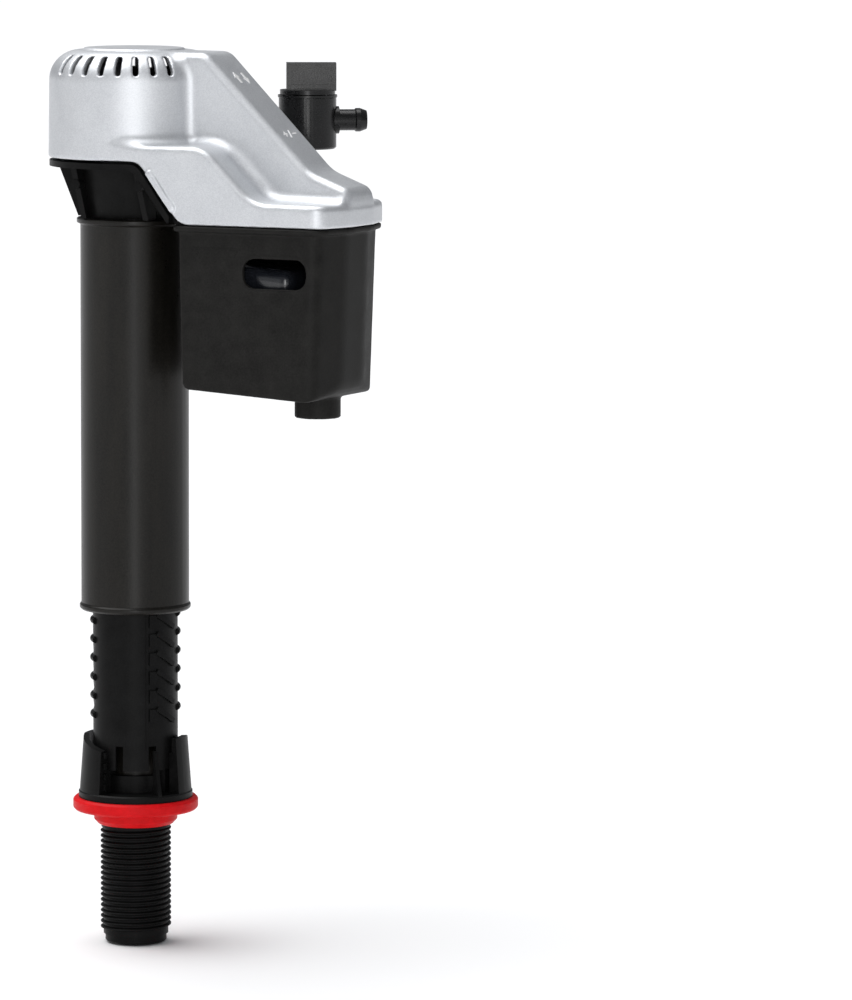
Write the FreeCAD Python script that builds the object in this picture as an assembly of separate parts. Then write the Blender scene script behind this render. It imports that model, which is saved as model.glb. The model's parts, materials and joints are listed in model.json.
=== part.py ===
import FreeCAD, Part
import math
import os

V = FreeCAD.Vector
UP = V(0, 0, 1)
ORIGIN = V(0, 0, 0)

# A telescoping toilet fill valve.  Millimetres, +Z up.
# Origin: on the axis of the water tube, in the plane of the tank floor.  +X points at the float cup.

# Threaded shank, 15/16 in x 14 threads per inch
SHANK_END = -44.9
PILOT_R = 10.3
PILOT_TOP = -42.2
THREAD_CREST_R = 11.9
THREAD_ROOT_R = 10.9
THREAD_PITCH = 25.4 / 14
THREAD_TURNS = 20
CREST_FLAT = 0.5
ROOT_FLAT = 0.3
SHANK_R = 11.6
INLET_R = 6.35
EDGE = 0.5

# Rubber shank washer
WASHER_R = 21.0
WASHER_TOP = 4.3
STEP_R = 14.0
STEP_BOTTOM = -3.3
CONE_BOTTOM = -4.8
CONE_R = 12.6

# Base flange, hub and grip wings
FLANGE_R = 19.1
FLANGE_TOP = 6.8
HUB_R = 11.0
HUB_TOP = 12.5
KEY_ANGLE = -60.0
WING_INNER_R = 15.6
WING_FOOT_R = 18.8
WING_HEAD_R = 17.4
WING_TOP = 25.2
WING_MID_TOP = 24.2
WING_TILT = 14.0
WING_START = -130.0
WING_SPAN = 89.0
FIN_ANGLE = 25.0
FIN_THICK = 1.3

# Telescoping tubes
LOWER_RISER_R = 8.6
LOWER_RISER_BORE = 7.0
LOWER_RISER_BOTTOM = 8.0
LOWER_RISER_TOP = 150.0
UPPER_RISER_R = 6.5
UPPER_RISER_BORE = 4.8
UPPER_RISER_BOTTOM = 55.0
UPPER_RISER_TOP = 214.0
LOWER_SLEEVE_R = 14.2
LOWER_SLEEVE_BORE = 12.7
LOWER_SLEEVE_BOTTOM = 14.7
LOWER_SLEEVE_TOP = 165.0
OUTER_SLEEVE_R = 18.04
OUTER_SLEEVE_BORE = 16.04
OUTER_SLEEVE_BOTTOM = 67.8
OUTER_SLEEVE_TOP = 199.2
BEAD_R = 18.6
RIM_R = 19.2

# Height ratchet on the lower sleeve
TOOTH_PITCH = 6.35
TOOTH_COUNT = 19
FIRST_TOOTH = 32.4
TOOTH_TIP_R = 15.2
TOOTH_STAGGER = 2.4
LUG_TIP_R = 15.35

# Neck and deck of the valve body
NECK_R = 15.74
NECK_BORE = 14.5
NECK_BOTTOM = 192.0
DECK_R = 28.2
DECK_BOTTOM = 216.5
DECK_TOP = 218.5
CUP_R = 21.5
CUP_BORE = 19.0
CUP_TOP = 227.0
SEAT_TOP = 226.2
RIB_FRONT_X = (-9.5, 14.0)

# Cover shell
WALL = 2.2
GAP = 0.3
HEAD_FOOT_R = 28.5
HEAD_SHOULDER_R = 28.1
SHOULDER = 10.0
HEAD_TOP = 254.9
PLATEAU_R = 16.8
PLATEAU = 0.7
COVER_BOTTOM = 199.2
COVER_HIGH_EDGE = 219.4
EDGE_HIGH_X = 16.6
EDGE_LOW_X = 31.4
VENT_COUNT = 8
VENT_PITCH = 12.4
VENT_FIRST = -121.4
VENT_WIDTH = 1.9
VENT_LOW = 247.1
VENT_HIGH = 253.3
TAB_START = 4.5
TAB_END = 20.5
TAB_WIDTH = 2.4
TAB_RISE = 0.8

# Float cup
CUP_WALL = 1.6
CUP_TOP_Z = 198.9
CUP_BACK = 30.2
CUP_BACK_LOW = 31.9
CUP_FRONT_LOW = 81.2
CUP_FRONT_HIGH = 84.2
CUP_FLANGE = 1.8
SLOT_X = (53.8, 76.1)
SLOT_Z = (179.2, 188.9)
DRAIN_X = 69.1
DRAIN_R = 7.6
DRAIN_BORE = 6.0
DRAIN_BOTTOM = 135.6
DRAIN_FLOOR = 143.6

# Float arm, drawn level and then let down to its rest angle
PIVOT = V(15.0, 0, 246.5)
REST_TILT = 4.5
PIN_R = 1.2

# Refill regulator behind the cover
REFILL = V(46.2, 35.7, 0)
REFILL_R = 9.65
REFILL_BOTTOM = 221.5
REFILL_TOP = 239.5
PORT_START = V(2.0, 20.2, 222.0)
PORT_R = 3.9
PORT_BORE = 2.0
PORT_END = 8.1
SOCKET_FLOOR = 7.0
SOCKET_LENGTH = 12.0
NOZZLE_ANGLE = 35.0
NOZZLE_R = 3.55
NOZZLE_Z = 231.0
NOZZLE_END = 19.8
BARB_R = 3.95
BARB_START = NOZZLE_END - 3.6
BARB_LAND = 1.4
KNOB_ANGLE = 30.0
BLADE_SHIFT = 1.2


def tube(bore, radius, low, high, centre=ORIGIN):
    """A plain upright tube."""
    foot = V(centre.x, centre.y, low)
    return Part.makeCylinder(radius, high - low, foot).cut(Part.makeCylinder(bore, high - low, foot))


def disc(radius, low, high, centre=ORIGIN):
    """A plain upright cylinder."""
    return Part.makeCylinder(radius, high - low, V(centre.x, centre.y, low))


def block(x, y, z):
    """A box between (low, high) pairs."""
    return Part.makeBox(x[1] - x[0], y[1] - y[0], z[1] - z[0], V(x[0], y[0], z[0]))


def turned(profile, centre=ORIGIN):
    """A solid of revolution about an upright axis from (radius, height) points."""
    points = [V(radius, 0, height) for radius, height in profile]
    solid = Part.Face(Part.makePolygon(points + points[:1])).revolve(ORIGIN, UP, 360)
    solid.translate(V(centre.x, centre.y, 0))
    return solid


def wedge(start, span, radius, low, high):
    """A pie slice of the main axis, from one angle through a span."""
    slice_ = Part.makeCylinder(radius, high - low, V(0, 0, low), UP, span)
    slice_.rotate(ORIGIN, UP, start)
    return slice_


def sector(start, span, bore, radius, low, high):
    """An arc-shaped bar round the main axis."""
    return wedge(start, span, radius, low, high).cut(disc(bore, low, high))


def radial_plate(profile, thick, angle):
    """A flat plate in the plane of the main axis, from (radius, height) points."""
    points = [V(radius, -thick / 2, height) for radius, height in profile]
    plate = Part.Face(Part.makePolygon(points + points[:1])).extrude(V(0, thick, 0))
    plate.rotate(ORIGIN, UP, angle)
    return plate


def line_meet(first, second):
    """The point where two lines meet; each is (point, direction)."""
    (ax, ay), (ux, uy) = first
    (bx, by), (vx, vy) = second
    along = ((bx - ax) * vy - (by - ay) * vx) / (ux * vy - uy * vx)
    return ax + ux * along, ay + uy * along


def inset(corners, distance):
    """An anticlockwise outline of (a, b, radius) corners, moved inwards by a distance."""
    lines = []
    for (ax, ay, _), (bx, by, _) in zip(corners, corners[1:] + corners[:1]):
        length = math.hypot(bx - ax, by - ay)
        along = ((bx - ax) / length, (by - ay) / length)
        lines.append(((ax - along[1] * distance, ay + along[0] * distance), along))
    moved = []
    for index, (_, _, radius) in enumerate(corners):
        before = lines[index - 1]
        after = lines[index]
        turn = before[1][0] * after[1][1] - before[1][1] * after[1][0]
        a, b = line_meet(before, after)
        moved.append((a, b, max(radius - math.copysign(distance, turn), 0) if radius else 0))
    return moved


def rounded_face(corners, place):
    """A face whose outline runs through (a, b, radius) corners; place() puts it in space."""
    edges = []
    ends = []
    for index, (x, y, radius) in enumerate(corners):
        here = V(x, y, 0)
        before = V(*corners[index - 1][:2], 0) - here
        after = V(*corners[(index + 1) % len(corners)][:2], 0) - here
        before.normalize()
        after.normalize()
        if radius <= 0:
            ends.append((here, here, None))
            continue
        half = before.getAngle(after) / 2
        trim = radius / math.tan(half)
        middle = before + after
        middle.normalize()
        crown = here + middle * (radius / math.sin(half) - radius)
        ends.append((here + before * trim, here + after * trim, crown))
    for index, (start, end, crown) in enumerate(ends):
        if crown:
            edges.append(Part.Arc(place(start), place(crown), place(end)).toShape())
        edges.append(Part.makeLine(place(end), place(ends[(index + 1) % len(ends)][0])))
    return Part.Face(Part.Wire(edges))


def side_prism(corners, low_y, high_y):
    """An (x, z) outline drawn through the width."""
    return rounded_face(corners, lambda p: V(p.x, low_y, p.y)).extrude(V(0, high_y - low_y, 0))


def plan_prism(corners, low, high):
    """An (x, y) outline drawn upwards."""
    return rounded_face(corners, lambda p: V(p.x, p.y, low)).extrude(V(0, 0, high - low))


def joined(first, *others):
    """One solid from overlapping ones."""
    return first.multiFuse(list(others)).removeSplitter()


# ---------------------------------------------------------------- base

def thread_profile():
    """Thread rings as (radius, height) points, from the bottom up."""
    flank = (THREAD_PITCH - CREST_FLAT - ROOT_FLAT) / 2
    points = []
    for turn in range(THREAD_TURNS):
        low = PILOT_TOP + turn * THREAD_PITCH
        points.append((THREAD_ROOT_R, low))
        points.append((THREAD_CREST_R, low + flank))
        points.append((THREAD_CREST_R, low + flank + CREST_FLAT))
        points.append((THREAD_ROOT_R, low + THREAD_PITCH - ROOT_FLAT))
    return points


def grip_wing(start):
    """A curved grip shell with a ramped top edge and a toothed end."""
    shell = turned([(WING_INNER_R, FLANGE_TOP - EDGE), (WING_FOOT_R, FLANGE_TOP - EDGE),
                    (WING_HEAD_R, WING_TOP), (WING_INNER_R, WING_TOP)])
    wing = shell.common(wedge(start, WING_SPAN, WING_FOOT_R + 1, 0, WING_TOP + 1))
    ramp = block((0, 30), (-30, 30), (0, 20))
    ramp.rotate(ORIGIN, V(1, 0, 0), -WING_TILT)
    ramp.translate(V(0, 0, WING_MID_TOP))
    ramp.rotate(ORIGIN, UP, start + WING_SPAN / 2)
    teeth = []
    for step in range(4):
        low = FLANGE_TOP + 1.2 + 3.6 * step
        teeth.append(sector(start + WING_SPAN - 1, 4.5, WING_INNER_R, WING_INNER_R + 1.2, low, low + 1.9))
    for end in (start, start + WING_SPAN - 6):
        teeth.append(sector(end, 6, LOWER_SLEEVE_R + 0.4, WING_INNER_R + 0.2, FLANGE_TOP - EDGE, WING_TOP - 5))
    return joined(wing.cut(ramp), *teeth)


def shank_base():
    profile = [(INLET_R, SHANK_END), (PILOT_R - EDGE, SHANK_END), (PILOT_R, SHANK_END + EDGE),
               (PILOT_R, PILOT_TOP)]
    profile += thread_profile()
    profile += [(SHANK_R, PILOT_TOP + THREAD_TURNS * THREAD_PITCH), (SHANK_R, WASHER_TOP),
                (FLANGE_R, WASHER_TOP), (FLANGE_R, FLANGE_TOP - EDGE), (FLANGE_R - EDGE, FLANGE_TOP),
                (HUB_R, FLANGE_TOP), (HUB_R, HUB_TOP), (LOWER_RISER_R + 0.05, HUB_TOP),
                (LOWER_RISER_R + 0.05, LOWER_RISER_BOTTOM), (INLET_R, LOWER_RISER_BOTTOM)]
    details = []
    for side in (0, 180):
        turn = KEY_ANGLE + side
        details.append(grip_wing(turn + WING_START))
        fin = [(LOWER_SLEEVE_R + 0.5, FLANGE_TOP - EDGE), (FLANGE_R - 0.1, FLANGE_TOP - EDGE),
               (FLANGE_R - 0.1, FLANGE_TOP + 0.4), (LOWER_SLEEVE_R + 1.3, 21.5),
               (LOWER_SLEEVE_R + 0.5, 21.5)]
        details.append(radial_plate(fin, FIN_THICK, turn + FIN_ANGLE))
        for angle in (55, 125):
            web = [(HUB_R - 1, FLANGE_TOP - EDGE), (LOWER_SLEEVE_BORE - 0.05, FLANGE_TOP - EDGE),
                   (LOWER_SLEEVE_BORE - 0.05, 20.0), (LOWER_RISER_R + 0.4, 20.0),
                   (LOWER_RISER_R + 0.4, HUB_TOP - 1), (HUB_R - 1, HUB_TOP - 1)]
            details.append(radial_plate(web, 2.2, turn + angle))
    return joined(turned(profile), *details)


def shank_washer():
    return turned([(SHANK_R, CONE_BOTTOM), (CONE_R, CONE_BOTTOM), (STEP_R, STEP_BOTTOM), (STEP_R, 0),
                   (WASHER_R - 0.8, 0), (WASHER_R, 0.8), (WASHER_R, WASHER_TOP - 0.8),
                   (WASHER_R - 0.8, WASHER_TOP), (SHANK_R, WASHER_TOP)])


def slanted_bar(angle, middle, half_length, height):
    """A raised bar that falls as it goes round the sleeve."""
    slope = 31.0
    bar = block((0, 20), (-half_length, half_length), (-height / 2, height / 2))
    bar.rotate(ORIGIN, V(1, 0, 0), -slope)
    bar.translate(V(0, 0, middle))
    bar.rotate(ORIGIN, UP, angle)
    return bar.common(tube(LOWER_SLEEVE_R - 0.3, TOOTH_TIP_R - 0.1, middle - 8, middle + 8))


def round_bar(start, span, middle):
    """A half-round bar that lies level round the sleeve."""
    section = Part.Wire(Part.makeCircle(1.15, V(TOOTH_TIP_R - 1.15, 0, middle), V(0, 1, 0)))
    bar = Part.Face(section).revolve(ORIGIN, UP, span)
    bar.rotate(ORIGIN, UP, start)
    return bar


def lower_sleeve():
    sleeve = tube(LOWER_SLEEVE_BORE, LOWER_SLEEVE_R, LOWER_SLEEVE_BOTTOM, LOWER_SLEEVE_TOP)
    slots = []
    teeth = []
    for side in (0, 180):
        turn = KEY_ANGLE + side
        for angle in (-23, 23):
            slot = block((8, 20), (-1.35, 1.35), (LOWER_SLEEVE_BOTTOM - 1, 22.9))
            slot.rotate(ORIGIN, UP, turn + angle)
            slots.append(slot)
        rail_top = FIRST_TOOTH + TOOTH_PITCH * (TOOTH_COUNT - 1) + 2
        teeth.append(sector(turn + 14, 2.0, LOWER_SLEEVE_R - 0.3, LOWER_SLEEVE_R + 0.35, 21.5, rail_top))
        for step in range(TOOTH_COUNT):
            height = FIRST_TOOTH + TOOTH_PITCH * step + (TOOTH_STAGGER if side == 0 else 0)
            if height > rail_top:
                continue
            teeth.append(sector(turn + 18.5, 10, LOWER_SLEEVE_R - 0.3, TOOTH_TIP_R - 0.3,
                                height - 3.6, height + 0.6))
            teeth.append(slanted_bar(turn + 44, height - 1.6, 4.6, 1.6))
            teeth.append(round_bar(turn + 76, 34, height))
    return joined(sleeve.cut(slots[0].multiFuse(slots[1:])), *teeth)


# ---------------------------------------------------------------- sleeve and risers

def outer_sleeve():
    groove_r = OUTER_SLEEVE_BORE + 1.1
    body = turned([(OUTER_SLEEVE_BORE, OUTER_SLEEVE_BOTTOM), (BEAD_R - 0.7, OUTER_SLEEVE_BOTTOM),
                   (BEAD_R, OUTER_SLEEVE_BOTTOM + 0.7), (BEAD_R, OUTER_SLEEVE_BOTTOM + 1.7),
                   (OUTER_SLEEVE_R, OUTER_SLEEVE_BOTTOM + 2.4), (OUTER_SLEEVE_R, OUTER_SLEEVE_TOP - 2.2),
                   (RIM_R, OUTER_SLEEVE_TOP - 1.6), (RIM_R, OUTER_SLEEVE_TOP - 0.4),
                   (RIM_R - 0.4, OUTER_SLEEVE_TOP), (OUTER_SLEEVE_BORE, OUTER_SLEEVE_TOP),
                   (OUTER_SLEEVE_BORE, NECK_BOTTOM + 2.6), (groove_r, NECK_BOTTOM + 2.2),
                   (groove_r, NECK_BOTTOM + 0.3), (OUTER_SLEEVE_BORE, NECK_BOTTOM - 0.3)])
    lugs = []
    for side in (0, 180):
        lugs.append(sector(KEY_ANGLE + side + 33, 30, LUG_TIP_R, OUTER_SLEEVE_BORE + 0.3, 69.5, 72.0))
    return joined(body, *lugs)


def upper_riser():
    groove = UPPER_RISER_R - 1.1
    profile = [(UPPER_RISER_BORE, UPPER_RISER_BOTTOM), (UPPER_RISER_R - 0.4, UPPER_RISER_BOTTOM)]
    profile += [(UPPER_RISER_R, UPPER_RISER_BOTTOM + 0.6)]
    for low in (57.0, 62.0):
        profile += [(UPPER_RISER_R, low), (groove, low), (groove, low + 2.2), (UPPER_RISER_R, low + 2.2)]
    profile += [(UPPER_RISER_R, UPPER_RISER_TOP), (UPPER_RISER_BORE, UPPER_RISER_TOP)]
    return turned(profile)


def torus(middle_r, section_r, height, centre=ORIGIN):
    """A rubber ring lying flat."""
    return Part.makeTorus(middle_r, section_r, V(centre.x, centre.y, height))


def riser_orings():
    section = 0.75
    middle = LOWER_RISER_BORE - 0.05 - section
    return Part.makeCompound([torus(middle, section, low + 1.1) for low in (57.0, 62.0)])


def debris_screen():
    radius = UPPER_RISER_BORE - 0.05
    screen = disc(radius, 205.0, 206.2).fuse(tube(radius - 0.7, radius, 200.0, 205.0))
    holes = [disc(0.7, 204.0, 207.0)]
    for step in range(6):
        angle = math.radians(60 * step)
        holes.append(disc(0.7, 204.0, 207.0, V(2.3 * math.cos(angle), 2.3 * math.sin(angle), 0)))
    return screen.cut(holes[0].multiFuse(holes[1:])).removeSplitter()


# ---------------------------------------------------------------- head outlines

def edge_outline():
    """Everything below the lower edge of the cover, as an (x, z) outline."""
    return [(-40, 150, 0), (100, 150, 0), (100, COVER_BOTTOM, 0), (EDGE_LOW_X, COVER_BOTTOM, 7),
            (EDGE_HIGH_X, COVER_HIGH_EDGE, 6), (-40, COVER_HIGH_EDGE, 0)]


def skirt_side():
    """The low shoulder of the cover with its falling top, as an (x, z) outline."""
    return [(0, 170, 0), (89.5, 170, 0), (89.5, 206.6, 0), (57.7, 207.0, 12), (39.8, 224.9, 12), (0, 224.9, 0)]


def skirt_plan():
    return [(0, -28.4, 0), (82.2, -22.4, 6), (86.2, -7, 20), (86.2, 7, 20), (82.2, 22.4, 6), (0, 28.4, 0)]


def spine_side():
    """The high narrow ridge with its long slope, as an (x, z) outline."""
    return [(0, 170, 0), (88, 170, 0), (88, 210.2, 0), (70.8, 216.6, 14), (32.0, 254.8, 6), (0, 254.8, 0)]


def spine_plan():
    return [(0, -10.2, 0), (85.6, -9.4, 3), (85.6, 9.4, 3), (0, 10.2, 0)]


def head_dome(step):
    """The round head of the cover, each face moved inwards by step."""
    foot = HEAD_FOOT_R - step
    top = HEAD_TOP - step
    shoulder_r = HEAD_SHOULDER_R - step
    round_ = SHOULDER - step
    centre = V(shoulder_r - round_, 0, top - round_)
    slant = V(math.sqrt(0.5) * round_, 0, math.sqrt(0.5) * round_)
    start = V(shoulder_r, 0, top - round_)
    end = V(shoulder_r - round_, 0, top)
    edges = [Part.makeLine(V(0, 0, 170), V(foot, 0, 170)), Part.makeLine(V(foot, 0, 170), V(foot, 0, 219)),
             Part.makeLine(V(foot, 0, 219), start), Part.Arc(start, centre + slant, end).toShape(),
             Part.makeLine(end, V(0, 0, top)), Part.makeLine(V(0, 0, top), V(0, 0, 170))]
    return Part.Face(Part.Wire(edges)).revolve(ORIGIN, UP, 360)


def crossed(side, plan, step):
    """The solid that has one outline from the side and another from above."""
    return side_prism(inset(side, step), -40, 40).common(plan_prism(inset(plan, step), 130, 270))


def cover_form(step):
    """The filled cover, moved inwards by step; open-ended downwards."""
    return head_dome(step).multiFuse([crossed(skirt_side(), skirt_plan(), step),
                                      crossed(spine_side(), spine_plan(), step)])


def snap_tab():
    """The raised strip along the slanting edge, as an (x, z) outline."""
    run = V(EDGE_LOW_X - EDGE_HIGH_X, COVER_BOTTOM - COVER_HIGH_EDGE, 0)
    run.normalize()
    inwards = V(-run.y, run.x, 0)
    corners = []
    for along, across, radius in ((TAB_START, -1, 0), (TAB_END, -1, 0), (TAB_END, TAB_WIDTH, 1.5),
                                  (TAB_START, TAB_WIDTH, 0.5)):
        point = V(EDGE_HIGH_X, COVER_HIGH_EDGE, 0) + run * along + inwards * across
        corners.append((point.x, point.y, radius))
    return corners


def vent(angle):
    """A slot through the shoulder of the head."""
    half = VENT_WIDTH / 2
    cut = block((14, 32), (-half, half), (VENT_LOW + half, VENT_HIGH - half))
    ends = [Part.makeCylinder(half, 18, V(14, 0, height), V(1, 0, 0)) for height in
            (VENT_LOW + half, VENT_HIGH - half)]
    cut = cut.multiFuse(ends)
    cut.rotate(ORIGIN, UP, angle)
    return cut


def cover():
    below = side_prism(edge_outline(), -40, 40)
    shell = cover_form(0).fuse(disc(PLATEAU_R, HEAD_TOP - 1, HEAD_TOP + PLATEAU))
    for side in (-1, 1):
        tab = side_prism(snap_tab(), *sorted((side * 24.0, side * 28.6)))
        shell = shell.fuse(tab.common(plan_prism(inset(skirt_plan(), -TAB_RISE), 190, 230)))
    cuts = [cover_form(WALL), below]
    for step in range(VENT_COUNT):
        for angle in (VENT_FIRST + VENT_PITCH * step, -VENT_FIRST - VENT_PITCH * step):
            cuts.append(vent(angle))
    cuts.append(block((4.0, 31.8), (15.0, 34.0), (190, PORT_START.z + PORT_R + GAP)))
    return shell.cut(cuts).removeSplitter()


# ---------------------------------------------------------------- valve body and its valve

def port_direction():
    """Unit vector from the head's outlet to the refill regulator."""
    along = REFILL - V(PORT_START.x, PORT_START.y, 0)
    return along / along.Length


def neck_ribs():
    """Flared gussets and slanted panels between the neck and the deck."""
    pieces = []
    low = OUTER_SLEEVE_TOP + GAP
    cone = turned([(15.0, low), (16.4, low), (21.6, DECK_BOTTOM + 0.5), (20.0, DECK_BOTTOM + 0.5)])
    for side in (-1, 1):
        for x in RIB_FRONT_X:
            outline = [(12.0, low), (17.2, low), (24.2, DECK_BOTTOM + 0.5), (12.0, DECK_BOTTOM + 0.5)]
            points = [V(x - 1, side * y, z) for y, z in outline]
            pieces.append(Part.Face(Part.makePolygon(points + points[:1])).extrude(V(2, 0, 0)))
            pieces.append(Part.makeCylinder(1.6, 4, V(x, side * 18.6, 211), V(0, side, 0)))
        pieces.append(cone.common(block(RIB_FRONT_X, sorted((side * 5, side * 25)), (low, DECK_TOP))))
        gusset = [V(-x, side * 6 - 0.9, z) for x, z in [(12.0, low), (17.6, low),
                                                        (25.4, DECK_BOTTOM + 0.5), (12.0, DECK_BOTTOM + 0.5)]]
        pieces.append(Part.Face(Part.makePolygon(gusset + gusset[:1])).extrude(V(0, 1.8, 0)))
    return pieces


def tray():
    """The sloping floor that carries the float cup, with two rails over the cup's rim."""
    hook_x = (CUP_BACK + CUP_WALL + 2.0, CUP_BACK + CUP_WALL + 3.2)
    floor = side_prism([(0, DECK_BOTTOM, 0), (14.0, DECK_BOTTOM, 4), (29.0, CUP_TOP_Z, 3),
                        (hook_x[1], CUP_TOP_Z, 0), (hook_x[1], CUP_TOP_Z + 1.8, 0),
                        (32.0, CUP_TOP_Z + 1.8, 4), (16.4, DECK_TOP + 2.0, 4), (0, DECK_TOP + 2.0, 0)], -40, 40)
    floor = floor.common(plan_prism(inset(skirt_plan(), WALL + GAP), 190, 225))
    lip_end = CUP_BACK - 2.2
    lip = side_prism([(0, DECK_BOTTOM, 0), (14.9, DECK_BOTTOM, 5), (lip_end - 0.8, CUP_TOP_Z + 0.8, 0),
                      (lip_end, CUP_TOP_Z + 0.8, 0), (lip_end, CUP_TOP_Z + 3.1, 0), (16.2, DECK_TOP, 5),
                      (0, DECK_TOP, 0)], -40, 40)
    lip = lip.common(plan_prism(inset(skirt_plan(), -0.3), 190, 225))
    rails = plan_prism(inset(skirt_plan(), WALL + GAP), CUP_TOP_Z, CUP_TOP_Z + 1.8)
    rails = rails.cut(plan_prism(inset(skirt_plan(), WALL + GAP + 2.4), CUP_TOP_Z - 1, CUP_TOP_Z + 3))
    rails = rails.common(block((29, 90), (-40, 40), (190, 205)))
    hook = block(hook_x, (-12, 12), (190, CUP_TOP_Z + 1))
    return [floor, lip, rails, hook]


def valve_body():
    bead_low = NECK_BOTTOM + 0.7
    neck = turned([(NECK_BORE, NECK_BOTTOM), (NECK_R, NECK_BOTTOM), (NECK_R, bead_low),
                   (NECK_R + 0.9, bead_low + 0.3), (NECK_R + 0.9, bead_low + 0.9), (NECK_R, bead_low + 1.2),
                   (NECK_R, DECK_BOTTOM), (DECK_R, DECK_BOTTOM), (DECK_R, DECK_TOP),
                   (NECK_BORE, DECK_TOP)])
    outside = joined(neck, *neck_ribs(), *tray(), tube(CUP_BORE, CUP_R, DECK_BOTTOM, CUP_TOP))
    outside = outside.cut(disc(NECK_BORE, 180, 230)).cut(disc(CUP_BORE, DECK_TOP, 230))
    seat = turned([(UPPER_RISER_R, 204), (8.4, 204), (8.4, UPPER_RISER_TOP), (6.6, 216), (6.4, 225.6),
                   (6.0, SEAT_TOP), (5.4, SEAT_TOP), (UPPER_RISER_BORE, 225.6),
                   (UPPER_RISER_BORE, UPPER_RISER_TOP), (UPPER_RISER_R, UPPER_RISER_TOP)])
    webs = []
    for angle in (45, 135, 225, 315):
        webs.append(radial_plate([(8.0, 206), (NECK_BORE + 0.4, 206), (NECK_BORE + 0.4, DECK_BOTTOM),
                                  (6.0, DECK_BOTTOM), (6.0, 215), (8.0, 213)], 1.6, angle))
    along = port_direction()
    length = (REFILL - V(PORT_START.x, PORT_START.y, 0)).Length - PORT_END
    port = Part.makeCylinder(PORT_R, length, PORT_START, along)
    bore = Part.makeCylinder(PORT_BORE, length + 4, PORT_START - along * 3, along)
    return joined(outside, seat, *webs, port).cut(bore)


def diaphragm():
    return turned([(9.3, 227.6), (18.6, 227.6), (19.2, CUP_TOP), (21.0, CUP_TOP), (21.0, 229.6),
                   (19.2, 229.6), (18.6, 228.8), (9.3, 228.8)])


def diaphragm_core():
    core = turned([(0.8, 227.2), (9.0, 227.2), (9.0, 229.4), (3.0, 229.4), (3.0, 232.69), (0.8, 232.69)])
    fins = []
    for angle in (0, 90, 180, 270):
        fins.append(radial_plate([(1.4, 219), (4.5, 219), (4.5, 227.4), (1.4, 227.4)], 1.0, angle))
    return joined(core, *fins)


def bonnet():
    dome = turned([(14.0, 229.6), (21.2, 229.6), (21.2, 232.0), (16.2, 232.0), (16.0, 238.6),
                   (14.6, 240.0), (4.2, 240.0), (4.0, 243.0), (1.48, 243.0), (1.48, 237.8), (14.0, 237.8)])
    ears = []
    for side in (-1, 1):
        ear = side_prism([(11.6, 231, 0), (18.4, 231, 0), (18.4, 249.3, 2.8), (11.6, 249.3, 2.8)],
                         *sorted((side * 4.0, side * 6.0)))
        ears.append(ear)
    hole = Part.makeCylinder(PIN_R, 20, PIVOT - V(0, 10, 0), V(0, 1, 0))
    hollow = disc(14.0, 229.6, 237.8)
    return joined(dome, *ears).cut(hole).cut(hollow)


def bonnet_ring():
    ring = turned([(21.7, 226.4), (24.2, 226.4), (24.2, 233.2), (23.6, 233.8), (19.4, 233.8),
                   (19.4, 232.1), (21.7, 232.1)])
    grips = []
    for step in range(12):
        grips.append(radial_plate([(24.0, 227), (24.9, 227), (24.9, 233), (24.0, 233)], 1.6, 30 * step + 15))
    return joined(ring, *grips)


def seal_plunger():
    return turned([(0, 234.1), (1.4, 234.1), (1.4, 244.7), (3.2, 244.7), (3.2, 245.1), (1.5, 245.7),
                   (0, 245.75)])


def pilot_seal():
    return turned([(0, 233.6), (2.2, 233.6), (2.2, 236.4), (1.45, 236.4), (1.45, 234.05), (0, 234.05)])


# ---------------------------------------------------------------- float arm

def let_down(shape):
    """Turn a piece drawn level to the arm's rest angle."""
    shape.rotate(PIVOT, V(0, 1, 0), REST_TILT)
    return shape


def float_lever():
    arm = side_prism([(-3.0, 245.0, 1), (13.0, 244.6, 0), (25.0, 244.6, 3), (48.0, 221.6, 3),
                      (48.0, 188.0, 0), (52.0, 188.0, 0), (52.0, 223.4, 3), (27.0, 248.4, 4),
                      (-3.0, 248.0, 1)], -3, 3)
    hub = Part.makeCylinder(3.4, 7.2, PIVOT - V(0, 3.6, 0), V(0, 1, 0))
    foot = block((46.6, 64), (-8, 8), (187.0, 189.2))
    hole = Part.makeCylinder(PIN_R + 0.06, 20, PIVOT - V(0, 10, 0), V(0, 1, 0))
    return let_down(joined(arm, hub, foot).cut(hole))


def float_block():
    block_ = block((44, 73.5), (-18, 18), (157, 189))
    body = block_.makeFillet(3.2, block_.Edges)
    pocket = block((46.5, 64.1), (-8.1, 8.1), (186.9, 190))
    return let_down(body.cut(pocket))


def lever_pin():
    return Part.makeCylinder(PIN_R, 14, PIVOT - V(0, 7, 0), V(0, 1, 0))


# ---------------------------------------------------------------- float cup

def cup_plan(front):
    return [(CUP_BACK, -25.0, 1.5), (front - 3.6, -21.4, 5), (front, -7, 20), (front, 7, 20),
            (front - 3.6, 21.4, 5), (CUP_BACK, 25.0, 1.5)]


def cup_side():
    """The float cup from the side: the floor falls slightly away from the riser."""
    return [(CUP_BACK_LOW, 145.2, 2.5), (82.2, 142.0, 7.5), (85.6, 230, 0), (CUP_BACK - 1.0, 230, 0)]


def cup_form(step):
    """The filled cup, each face moved inwards by step; its far end leans out towards the top."""
    ends = []
    for front, height in ((CUP_FRONT_LOW, 130), (CUP_FRONT_HIGH, 205)):
        face = rounded_face(inset(cup_plan(front), step), lambda p: V(p.x, p.y, height))
        ends.append(face.OuterWire)
    return side_prism(inset(cup_side(), step), -40, 40).common(Part.makeLoft(ends, True, True))


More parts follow.
